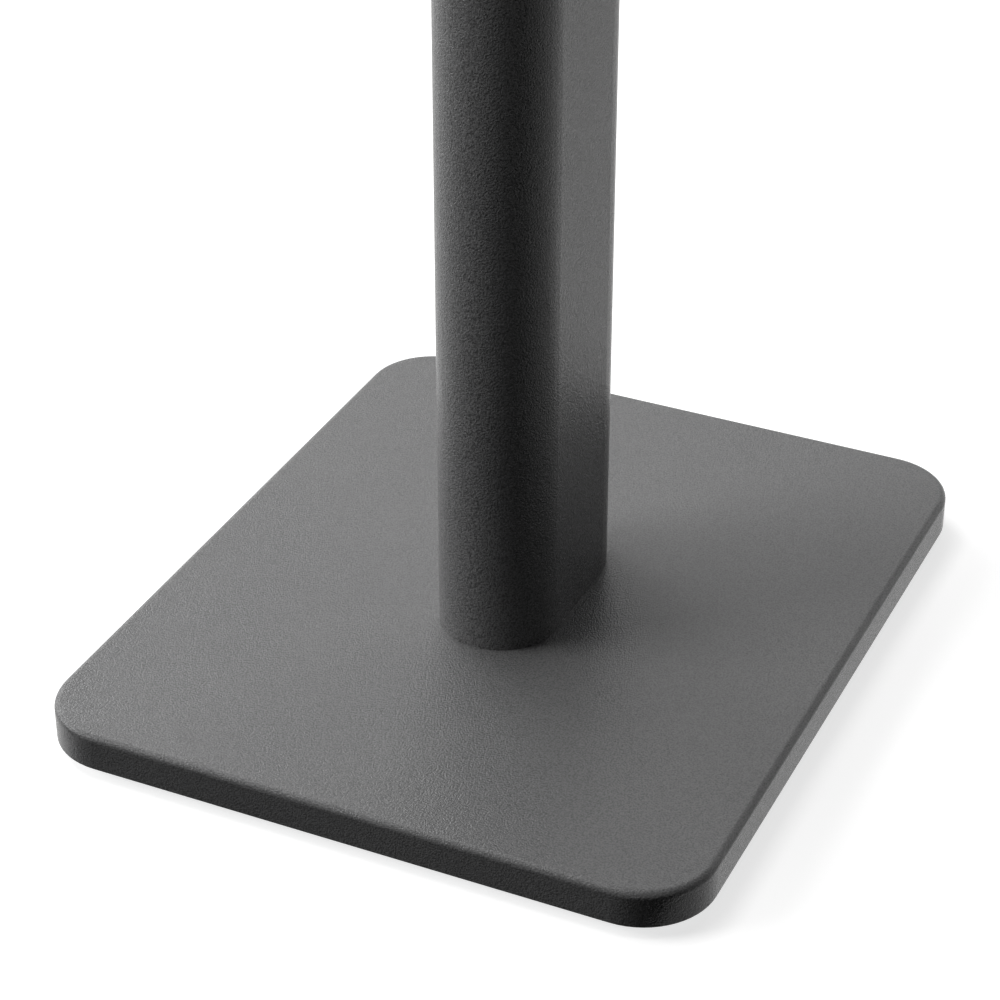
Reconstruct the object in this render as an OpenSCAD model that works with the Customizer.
// Speaker stand: a ballasted rectangular base, one hollow flat-oval column with a cable duct
// at its back, and a swivelling top plate. Lengths are in millimetres.
// The origin is on the floor, below the middle of the base. X is the width, +Y points to the
// back of the stand and Z is up.

/* [Base] */
// Width of the base, left to right
base_w = 250; // [200:1:320]
// Depth of the base, front to back
base_d = 298; // [240:1:380]
// Height of the base's edge
base_h = 14; // [13:0.5:20]
// Radius of the base's corners, seen from above
base_r = 27; // [15:1:45]
// Radius of the rolled top edge
base_edge_r = 2.6; // [2.2:0.1:4]
// Wall of the drawn steel cover
cover_t = 2; // [1:0.1:2]
// Thickness of the damping sheet under the cover
sheet_t = 1; // [0.5:0.1:2]
// Thickness of the steel ballast plate
ballast_t = 9; // [8:0.5:10]
// Gap round the ballast plate, inside the cover
ballast_gap = 0.7; // [0.6:0.1:0.9]

/* [Feet] */
// Height of the base's lower edge above the floor, feet screwed in
floor_gap = 5; // [4:0.5:10]
// Distance of each foot's centre from the base's sides
foot_inset = 30; // [26:1:50]
// Diameter of a foot's pad
pad_d = 24; // [18:1:30]
// Thickness of a foot's pad
pad_t = 4; // [3.5:0.25:5]
// Thread diameter of a foot's stud
foot_d = 8; // [6:1:10]
// Width across flats of a stud's hexagon
foot_hex = 13; // [11:1:16]

/* [Column] */
// Width of the column
col_w = 45; // [44:1:60]
// Depth of the column, front to back
col_d = 88; // [84:1:110]
// Length of the column
col_h = 630; // [400:10:900]
// Wall of the column
col_wall = 2.5; // [2:0.25:3]
// Thickness of the web between the two chambers
web_t = 2; // [1.5:0.25:3]
// Outer radius of a screw port
port_r = 6; // [5:0.25:6]
// How deep a screw port's round wall runs into the column's wall
port_bite = 0.6; // [0.3:0.1:1.2]

/* [Cable outlets] */
// Width of an outlet cut in the column's back
outlet_w = 18; // [14:1:22]
// Height of an outlet
outlet_h = 34; // [26:1:50]
// Distance of an outlet's centre from the column's end
outlet_from_end = 55; // [50:1:90]
// Wall of an outlet's bush
bush_wall = 1.5; // [1:0.25:2]
// Width of a bush's lips round its outlet
bush_lip = 2; // [1.5:0.25:3]
// Thickness of a bush's lips
bush_lip_t = 1.2; // [0.8:0.1:2]

/* [Column screws] */
// Thread diameter of the screws at both ends of the column
screw_d = 6; // [5:0.5:6]
// Diameter of their countersunk heads
screw_head_d = 12; // [10:0.5:12]
// Length of thread in the column's ports
screw_grip = 20; // [12:1:40]
// Width across flats of their sockets
screw_socket = 4; // [3:0.5:5]

/* [Cover studs and nuts] */
// Thread diameter of the studs welded under the cover
stud_d = 6; // [4:1:8]
// Height of a flanged nut
nut_h = 5; // [4:0.5:6]
// Width across flats of a nut
nut_hex = 10; // [9:0.5:13]
// Diameter of a nut's flange
nut_flange_d = 13.5; // [12:0.5:18]
// Thickness of a nut's flange
nut_flange_t = 1.2; // [0.8:0.1:2]
// How deep a nut sits in the ballast plate
nut_sink = 4.5; // [4:0.25:5.5]

/* [Swivel] */
// Thickness of the cap on the column
cap_t = 8; // [7:0.5:12]
// Radius that softens the cap's upper edge
cap_edge_r = 0.8; // [0.4:0.1:1.5]
// Distance of the slide ring's rim from the column's flat sides
ring_inset = 3.5; // [2:0.25:5]
// Thickness of the slide ring
ring_t = 1; // [0.8:0.1:2]
// Diameter of the spindle
spindle_d = 16; // [12:1:18]
// Wall of the spindle's bush
bearing_wall = 2; // [1.5:0.25:3]
// Width of the hub's flange outside the stop pin's circle
hub_rim = 6.5; // [5:0.5:12]
// Thickness of the hub's flange
hub_t = 6; // [5:0.5:10]
// Distance of the stop pin's centre from the front of the cap
stop_inset = 10.5; // [8:0.5:12]
// Diameter of the stop pin
stop_d = 5; // [4:0.5:6]
// Swing of the top plate to each side, in degrees
swing = 15; // [5:1:30]
// Outer diameter of the washer and the disc springs under the cap
washer_d = 26; // [22:1:28]
// Gap between that washer and the column's web
washer_gap = 4.5; // [2:0.25:6]
// Thickness of the washer
washer_t = 1.5; // [1:0.25:2]
// Thickness of one disc spring
spring_t = 1; // [0.8:0.1:1.2]
// Height of a disc spring's cone
spring_cone = 0.6; // [0.4:0.1:0.8]
// Thickness of the retaining ring
clip_t = 1.2; // [1:0.1:1.5]
// Width of the retaining ring, outside the spindle
clip_w = 3; // [2:0.25:3.5]

/* [Top plate] */
// Width of the top plate
top_w = 165; // [140:1:230]
// Depth of the top plate
top_d = 205; // [170:1:280]
// Thickness of the top plate
top_t = 5; // [4:0.5:8]
// Radius of its corners
top_r = 20; // [12:1:40]
// Radius that rolls its edges
top_edge_r = 1.5; // [0.5:0.25:2]
// Spacing of the speaker's screw holes, left to right
speaker_hole_x = 100; // [90:1:130]
// Spacing of the speaker's screw holes, front to back
speaker_hole_y = 140; // [120:1:180]
// Diameter of the speaker's screw holes
speaker_hole_d = 6.6; // [5:0.1:8.5]
// Diameter of the soft pads on the top plate
top_pad_d = 20; // [14:1:24]
// Thickness of the soft pads
top_pad_t = 2; // [1:0.25:4]
// Distance of the soft pads' centres from the top plate's sides
top_pad_inset = 20; // [16:1:26]
// Thread diameter of the screws between top plate and hub
hub_screw_d = 5; // [4:0.5:6]
// Diameter of their heads
hub_screw_head_d = 10; // [8:0.5:11]

/* [Hidden] */
$fn = 96;

// Clearances and small shared sizes
cut = 1;
running_gap = 0.05;
seat_gap = 0.05;
hole_gap = 0.3;
stop_gap = 0.4;
// Play round what is pushed into the column's chamber
plug_gap = 0.2;

// Places up the stand
ballast_z = floor_gap + base_h - cover_t - sheet_t - ballast_t;
sheet_z = ballast_z + ballast_t;
cover_under_z = sheet_z + sheet_t;
col_z = floor_gap + base_h;
cap_z = col_z + col_h;
ring_z = cap_z + cap_t;
hub_z = ring_z + ring_t;
top_z = hub_z + hub_t;
top_pad_z = top_z + top_t;

// Feet
foot_x = base_w / 2 - foot_inset;
foot_y = base_d / 2 - foot_inset;
foot_hex_t = ballast_z - pad_t;
// Spigot of a stud that turns in its pad
spigot_d_share = 0.75;
spigot_h_share = 0.5;
pad_bevel_share = 0.2;
spigot_d = foot_d * spigot_d_share;
spigot_h = pad_t * spigot_h_share;
pad_bevel = pad_t * pad_bevel_share;

// Cover studs stand part of the way between the feet
stud_y_share = 0.5;
stud_x = foot_x;
stud_y = foot_y * stud_y_share;
nut_seat_z = ballast_z + nut_sink;
stud_tip = 0.5;

// Column section: two half rounds, whose centres lie at +Y and -Y, and straight sides
col_y = (col_d - col_w) / 2;
port_x = col_w / 2 - col_wall - port_r + port_bite;
port_y = col_y;
web_y = washer_d / 2 + washer_gap + web_t / 2;
ports = [for (sx = [-1, 1], sy = [-1, 1]) [sx * port_x, sy * port_y]];

// Depth of a screw's socket, as a share of its head
socket_depth_share = 0.7;

// Heights of the two cable outlets
outlet_zs = [col_z + outlet_from_end, cap_z - outlet_from_end];

// Swivel: the washer, the two disc springs and the retaining ring hang below the cap
spring_split = 0.05;
clip_seat_z = cap_z - washer_t - 2 * (spring_t + spring_cone) - spring_split;
clip_groove = 0.5;
clip_opening = 40;
spindle_tail = 2.5;
spindle_end_z = clip_seat_z - clip_t - spindle_tail;
ring_d = col_w - 2 * ring_inset;
stop_r = col_d / 2 - stop_inset;
hub_d = 2 * (stop_r + hub_rim);
slot_w = stop_d + 2 * stop_gap;
stop_head_share = 0.7;
hub_screw_r_share = 0.35;
hub_screw_grip_share = 0.8;
hub_bevel_share = 0.15;
hub_socket_share = 0.6;
stop_head = hub_t * stop_head_share;
hub_screw_r = hub_d * hub_screw_r_share;
hub_bevel = hub_t * hub_bevel_share;

// Chamber plugs: the lower one stands on the base, the upper one is below the spindle
plug_t = 2;
plug_h = 12;
plug_drop = 8;
lower_plug_z = col_z;
upper_plug_z = spindle_end_z - plug_drop - plug_h;

// A bar of the section that an edge of a rounded plate has: r deep, t high, its outer corners
// rounded by e_top and e_low.
module edge_profile(r, t, e_top, e_low) {
    difference() {
        square([r, t]);
        if (e_top > 0)
            corner_waste(r, t, e_top);
        if (e_low > 0)
            translate([0, t])
                mirror([0, 1])
                    corner_waste(r, t, e_low);
    }
}

// What a rounding of radius e takes off the corner at (r, t)
module corner_waste(r, t, e) {
    difference() {
        translate([r - e, t - e])
            square(e + cut);
        translate([r - e, t - e])
            circle(e);
    }
}

// A plate on the XY plane with round corners and rounded upper and lower edges. With r at half
// the width it becomes a flat oval.
module soft_plate(w, d, r, t, e_top, e_low) {
    flat_x = w - 2 * r;
    flat_y = d - 2 * r;
    if (flat_x > 0) {
        translate([-flat_x / 2, -flat_y / 2, 0])
            cube([flat_x, flat_y, t]);
        for (turn = [0, 180])
            rotate(turn)
                translate([-flat_x / 2, flat_y / 2, 0])
                    rotate([90, 0, 90])
                        linear_extrude(flat_x)
                            edge_profile(r, t, e_top, e_low);
    }
    for (turn = [0, 180])
        rotate(turn)
            translate([flat_x / 2, flat_y / 2, 0])
                rotate([90, 0, 0])
                    linear_extrude(flat_y)
                        edge_profile(r, t, e_top, e_low);
    for (sx = [0, 1], sy = [0, 1])
        mirror([sx, 0, 0])
            mirror([0, sy, 0])
                translate([flat_x / 2, flat_y / 2, 0])
                    rotate_extrude(angle = 90)
                        edge_profile(r, t, e_top, e_low);
}

// A flat oval of width w and depth d
module flat_oval(w, d) {
    square([w, d - w], center = true);
    for (side = [-1, 1])
        translate([0, side * (d - w) / 2])
            circle(d = w);
}

// The same piece at the four ports of the column
module at_ports() {
    for (place = ports)
        translate([place[0], place[1], 0])
            children();
}

// The same piece at the four corners of a rectangle
module at_corners(x, y) {
    for (sx = [-1, 1], sy = [-1, 1])
        translate([sx * x, sy * y, 0])
            children();
}

// A countersunk screw with a hexagon socket. Its head is a 90 degree cone whose flat face is at
// z = 0, and its thread points down.
module countersunk_screw(d, head_d, length, socket) {
    cone = (head_d - d) / 2;
    difference() {
        union() {
            translate([0, 0, -cone])
                cylinder(h = cone, d1 = d, d2 = head_d);
            translate([0, 0, -length])
                cylinder(h = length, d = d);
        }
        translate([0, 0, -cone * socket_depth_share])
            cylinder(h = cone, d = socket / cos(30), $fn = 6);
    }
}

// The hole for such a screw: clearance all round, the countersink at z = 0
module screw_hole(d, head_d, length, gap) {
    cone = (head_d - d) / 2;
    translate([0, 0, -cone - gap])
        cylinder(h = cone, d1 = d, d2 = head_d);
    translate([0, 0, -gap])
        cylinder(h = gap + cut, d = head_d);
    translate([0, 0, -length])
        cylinder(h = length + cut, d = d + 2 * gap);
}

// Drawn steel cover with a rolled top edge, open below
module base_cover() {
    inner_edge = max(base_edge_r - cover_t, 0);
    color("#2b2b2c")
        difference() {
            translate([0, 0, floor_gap])
                soft_plate(base_w, base_d, base_r, base_h, base_edge_r, 0);
            translate([0, 0, floor_gap - cut])
                soft_plate(base_w - 2 * cover_t, base_d - 2 * cover_t, base_r - cover_t,
                           base_h - cover_t + cut, inner_edge, 0);
            translate([0, 0, cover_under_z - cut])
                at_ports()
                    cylinder(h = cover_t + 2 * cut, d = screw_d + 2 * hole_gap);
        }
}

// Outline of what lies inside the cover
module inside_cover(t) {
    inset = cover_t + ballast_gap;
    soft_plate(base_w - 2 * inset, base_d - 2 * inset, base_r - inset, t, 0, 0);
}

// Sheet that keeps the cover from ringing
module damping_sheet() {
    color("#3a3835")
        difference() {
            translate([0, 0, sheet_z])
                inside_cover(sheet_t);
            translate([0, 0, sheet_z - cut]) {
                at_ports()
                    cylinder(h = sheet_t + 2 * cut, d = screw_d + 2 * hole_gap);
                at_corners(stud_x, stud_y)
                    cylinder(h = sheet_t + 2 * cut, d = stud_d + 2 * hole_gap);
            }
        }
}

// Steel plate that weighs the base down and takes the threads of the feet
module ballast_plate() {
    color("#4a4d50")
        difference() {
            translate([0, 0, ballast_z])
                inside_cover(ballast_t);
            translate([0, 0, ballast_z])
                at_ports()
                    mirror([0, 0, 1])
                        screw_hole(screw_d, screw_head_d, ballast_t + cut, seat_gap);
            translate([0, 0, ballast_z - cut])
                at_corners(foot_x, foot_y)
                    cylinder(h = ballast_t + 2 * cut, d = foot_d);
            at_corners(stud_x, stud_y) {
                translate([0, 0, ballast_z - cut])
                    cylinder(h = ballast_t + 2 * cut, d = stud_d + 2 * hole_gap);
                translate([0, 0, ballast_z - cut])
                    cylinder(h = nut_sink + cut, d = nut_flange_d + 2 * hole_gap);
            }
        }
}

// Threaded studs welded under the cover
module cover_studs() {
    tip_z = nut_seat_z - nut_h - stud_tip;
    color("#9a9c9e")
        at_corners(stud_x, stud_y)
            translate([0, 0, tip_z])
                cylinder(h = cover_under_z - tip_z, d = stud_d);
}

// Flanged nuts that clamp the ballast plate to the cover
module cover_nuts() {
    color("#a6a8aa")
        at_corners(stud_x, stud_y)
            translate([0, 0, nut_seat_z - nut_h])
                difference() {
                    union() {
                        cylinder(h = nut_h, d = nut_hex / cos(30), $fn = 6);
                        translate([0, 0, nut_h - nut_flange_t])
                            cylinder(h = nut_flange_t, d = nut_flange_d);
                    }
                    translate([0, 0, -cut])
                        cylinder(h = nut_h + 2 * cut, d = stud_d + 2 * seat_gap);
                }
}

// Screws that pull the column down on the base, from below
module column_bolts() {
    color("#3c3d3f")
        at_ports()
            translate([0, 0, ballast_z])
                mirror([0, 0, 1])
                    countersunk_screw(screw_d, screw_head_d, col_z - ballast_z + screw_grip,
                                      screw_socket);
}

// Pad of a levelling foot, with the socket that its stud turns in
module foot_pad(sx, sy) {
    color("#1b1b1c")
        translate([sx * foot_x, sy * foot_y, 0])
            difference() {
                union() {
                    cylinder(h = pad_bevel, d1 = pad_d - 2 * pad_bevel, d2 = pad_d);
                    translate([0, 0, pad_bevel])
                        cylinder(h = pad_t - 2 * pad_bevel, d = pad_d);
                    translate([0, 0, pad_t - pad_bevel])
                        cylinder(h = pad_bevel, d1 = pad_d, d2 = pad_d - 2 * pad_bevel);
                }
                translate([0, 0, pad_t - spigot_h - running_gap])
                    cylinder(h = spigot_h + cut, d = spigot_d + 2 * running_gap);
            }
}

// Stud of a levelling foot: spigot, hexagon and thread
module foot_stud(sx, sy) {
    color("#b4b6b8")
        translate([sx * foot_x, sy * foot_y, pad_t]) {
            translate([0, 0, -spigot_h])
                cylinder(h = spigot_h, d = spigot_d);
            cylinder(h = foot_hex_t, d = foot_hex / cos(30), $fn = 6);
            cylinder(h = foot_hex_t + ballast_t - stud_tip, d = foot_d - 2 * running_gap);
        }
}

// Section of the column: wall, web and screw ports
module column_section() {
    difference() {
        flat_oval(col_w, col_d);
        difference() {
            flat_oval(col_w - 2 * col_wall, col_d - 2 * col_wall);
            translate([0, web_y])
                square([col_w, web_t], center = true);
            at_ports()
                circle(port_r);
        }
        at_ports()
            circle(d = screw_d + 2 * seat_gap);
    }
}

// An upright slot with round ends, w wide and h high, along Y and centred on the origin
module upright_slot(w, h, length) {
    rotate([90, 0, 0])
        linear_extrude(length, center = true)
            flat_oval(w, h);
}

// A slot through the back of the column, at height z
module back_slot(w, h, z) {
    translate([0, col_d / 2, z])
        upright_slot(w, h, col_w);
}

// Extruded column with two chambers: the front one for filling, the back one for cables
module column() {
    color("#303031")
        difference() {
            translate([0, 0, col_z])
                linear_extrude(col_h)
                    column_section();
            for (z = outlet_zs)
                back_slot(outlet_w, outlet_h, z);
        }
}

// Outline of the front chamber, drawn in by gap
module chamber_outline(gap) {
    difference() {
        flat_oval(col_w - 2 * col_wall - 2 * gap, col_d - 2 * col_wall - 2 * gap);
        translate([-col_w / 2, web_y - web_t / 2 - gap])
            square([col_w, col_d]);
        at_ports()
            circle(port_r + gap);
    }
}

// Moulded cup that closes the front chamber, open side up
module chamber_plug(z) {
    color("#202021")
        translate([0, 0, z])
            difference() {
                linear_extrude(plug_h)
                    chamber_outline(plug_gap);
                translate([0, 0, plug_t])
                    linear_extrude(plug_h)
                        chamber_outline(plug_gap + plug_t);
            }
}

// A shell of the column's outline between two distances out from its surface
module column_shell(inner, outer, z) {
    reach = outlet_h + 2 * bush_lip;
    translate([0, 0, z - reach / 2 - cut])
        linear_extrude(reach + 2 * cut)
            difference() {
                flat_oval(col_w + 2 * outer, col_d + 2 * outer);
                flat_oval(col_w + 2 * inner, col_d + 2 * inner);
            }
}

// Bush round a cable outlet: a sleeve and two lips that follow the round back of the column
module cable_bush(z) {
    inner_lip = -col_wall - bush_lip_t;
    color("#19191a")
        difference() {
            union() {
                intersection() {
                    column_shell(seat_gap, bush_lip_t, z);
                    back_slot(outlet_w + 2 * bush_lip, outlet_h + 2 * bush_lip, z);
                }
                intersection() {
                    column_shell(inner_lip, bush_lip_t, z);
                    back_slot(outlet_w - 2 * seat_gap, outlet_h - 2 * seat_gap, z);
                }
                intersection() {
                    column_shell(inner_lip, -col_wall - seat_gap, z);
                    back_slot(outlet_w + bush_lip, outlet_h + bush_lip, z);
                }
            }
            back_slot(outlet_w - 2 * bush_wall, outlet_h - 2 * bush_wall, z);
        }
}

// Cap that closes the column and carries the swivel
module column_cap() {
    color("#303031")
        difference() {
            translate([0, 0, cap_z])
                soft_plate(col_w, col_d, col_w / 2, cap_t, cap_edge_r, 0);
            translate([0, 0, ring_z])
                at_ports()
                    screw_hole(screw_d, screw_head_d, cap_t + cut, seat_gap);
            translate([0, 0, cap_z - cut])
                cylinder(h = cap_t + 2 * cut, d = spindle_d + 2 * running_gap + 2 * bearing_wall);
            translate([0, -stop_r, cap_z - cut])
                cylinder(h = cap_t + 2 * cut, d = stop_d);
        }
}

// Screws that hold the cap on the column
module cap_screws() {
    color("#3c3d3f")
        translate([0, 0, ring_z - seat_gap])
            at_ports()
                countersunk_screw(screw_d, screw_head_d, cap_t + screw_grip, screw_socket);
}

// Bearing bush of the spindle, in the cap
module spindle_bush() {
    color("#b08d4a")
        translate([0, 0, cap_z])
            difference() {
                cylinder(h = cap_t, d = spindle_d + 2 * running_gap + 2 * bearing_wall
                                        - 2 * seat_gap);
                translate([0, 0, -cut])
                    cylinder(h = cap_t + 2 * cut, d = spindle_d + 2 * running_gap);
            }
}

// Plastic ring that the hub turns on
module slide_ring() {
    color("#e6e4dd")
        translate([0, 0, ring_z])
            difference() {
                cylinder(h = ring_t, d = ring_d);
                translate([0, 0, -cut])
                    cylinder(h = ring_t + 2 * cut, d = spindle_d + 2 * hole_gap);
            }
}

// Pin that stops the swing at both ends of the hub's slot
module stop_pin() {
    color("#c0c2c4")
        translate([0, -stop_r, cap_z])
            cylinder(h = cap_t + ring_t + stop_head, d = stop_d - 2 * seat_gap);
}

// Slot of the hub that the stop pin runs in
module stop_slot() {
    translate([0, 0, hub_z - cut]) {
        rotate(-90 - swing)
            rotate_extrude(angle = 2 * swing)
                translate([stop_r - slot_w / 2, 0])
                    square([slot_w, hub_t + 2 * cut]);
        for (side = [-1, 1])
            rotate(side * swing)
                translate([0, -stop_r, 0])
                    cylinder(h = hub_t + 2 * cut, d = slot_w);
    }
}

// Turned hub: a flange that carries the top plate, and the spindle below it
module swivel_hub() {
    color("#8f9193")
        difference() {
            union() {
                translate([0, 0, hub_z])
                    cylinder(h = hub_bevel, d1 = hub_d - 2 * hub_bevel, d2 = hub_d);
                translate([0, 0, hub_z + hub_bevel])
                    cylinder(h = hub_t - hub_bevel, d = hub_d);
                translate([0, 0, spindle_end_z])
                    cylinder(h = hub_z - spindle_end_z + hub_bevel, d = spindle_d);
            }
            stop_slot();
            translate([0, 0, hub_z - cut])
                hub_screw_places()
                    cylinder(h = hub_t + 2 * cut, d = hub_screw_d + 2 * seat_gap);
            translate([0, 0, clip_seat_z - clip_t - seat_gap])
                difference() {
                    cylinder(h = clip_t + seat_gap, d = spindle_d + cut);
                    translate([0, 0, -cut])
                        cylinder(h = clip_t + seat_gap + 2 * cut, d = spindle_d - 2 * clip_groove);
                }
        }
}

// The places of the screws between top plate and hub
module hub_screw_places() {
    for (turn = [45:90:315])
        rotate(turn)
            translate([hub_screw_r, 0, 0])
                children();
}

// A flat ring round the spindle, its upper face at z
module spindle_ring(z, t, inner_d, outer_d) {
    translate([0, 0, z - t])
        difference() {
            cylinder(h = t, d = outer_d);
            translate([0, 0, -cut])
                cylinder(h = t + 2 * cut, d = inner_d);
        }
}

// Washer that the disc springs press up against the cap
module thrust_washer() {
    color("#b4b6b8")
        spindle_ring(cap_z, washer_t, spindle_d + 2 * seat_gap, washer_d);
}

// Two disc springs, rim to rim, that give the swivel its steady drag
module disc_springs() {
    inner = spindle_d / 2 + 2 * seat_gap;
    outer = washer_d / 2;
    middle_z = cap_z - washer_t - spring_t - spring_cone - spring_split / 2;
    color("#77797b")
        translate([0, 0, middle_z])
            for (side = [0, 1])
                mirror([0, 0, side])
                    translate([0, 0, spring_split / 2])
                        rotate_extrude()
                            polygon([[outer, 0], [outer, spring_t],
                                     [inner, spring_t + spring_cone], [inner, spring_cone]]);
}

// Open retaining ring in the spindle's groove
module retaining_ring() {
    inner = spindle_d / 2 - clip_groove + seat_gap;
    color("#55575a")
        translate([0, 0, clip_seat_z - clip_t])
            rotate(90 + clip_opening / 2)
                rotate_extrude(angle = 360 - clip_opening)
                    translate([inner, 0])
                        square([spindle_d / 2 + clip_w - inner, clip_t]);
}

// Screws that hold the top plate on the hub
module hub_screws() {
    color("#3c3d3f")
        translate([0, 0, top_pad_z - seat_gap])
            hub_screw_places()
                countersunk_screw(hub_screw_d, hub_screw_head_d,
                                  top_t + hub_t * hub_screw_grip_share,
                                  hub_screw_d * hub_socket_share);
}

// Plate that the speaker stands on
module top_plate() {
    color("#2b2b2c")
        difference() {
            translate([0, 0, top_z])
                soft_plate(top_w, top_d, top_r, top_t, top_edge_r, top_edge_r);
            translate([0, 0, top_pad_z])
                hub_screw_places()
                    screw_hole(hub_screw_d, hub_screw_head_d, top_t + cut, seat_gap);
            translate([0, 0, top_z - cut])
                at_corners(speaker_hole_x / 2, speaker_hole_y / 2)
                    cylinder(h = top_t + 2 * cut, d = speaker_hole_d);
        }
}

// Soft pads under the speaker
module top_pads() {
    color("#161617")
        translate([0, 0, top_pad_z])
            at_corners(top_w / 2 - top_pad_inset, top_d / 2 - top_pad_inset)
                cylinder(h = top_pad_t, d = top_pad_d);
}

base_cover();
damping_sheet();
ballast_plate();
cover_studs();
cover_nuts();
column_bolts();
foot_pad(-1, -1);  // front_left_pad
foot_pad(1, -1);  // front_right_pad
foot_pad(-1, 1);  // rear_left_pad
foot_pad(1, 1);  // rear_right_pad
foot_stud(-1, -1);  // front_left_stud
foot_stud(1, -1);  // front_right_stud
foot_stud(-1, 1);  // rear_left_stud
foot_stud(1, 1);  // rear_right_stud
column();
chamber_plug(lower_plug_z);  // lower_chamber_plug
chamber_plug(upper_plug_z);  // upper_chamber_plug
cable_bush(outlet_zs[0]);  // lower_cable_bush
cable_bush(outlet_zs[1]);  // upper_cable_bush
column_cap();
cap_screws();
spindle_bush();
slide_ring();
stop_pin();
swivel_hub();
thrust_washer();
disc_springs();
retaining_ring();
hub_screws();
top_plate();
top_pads();
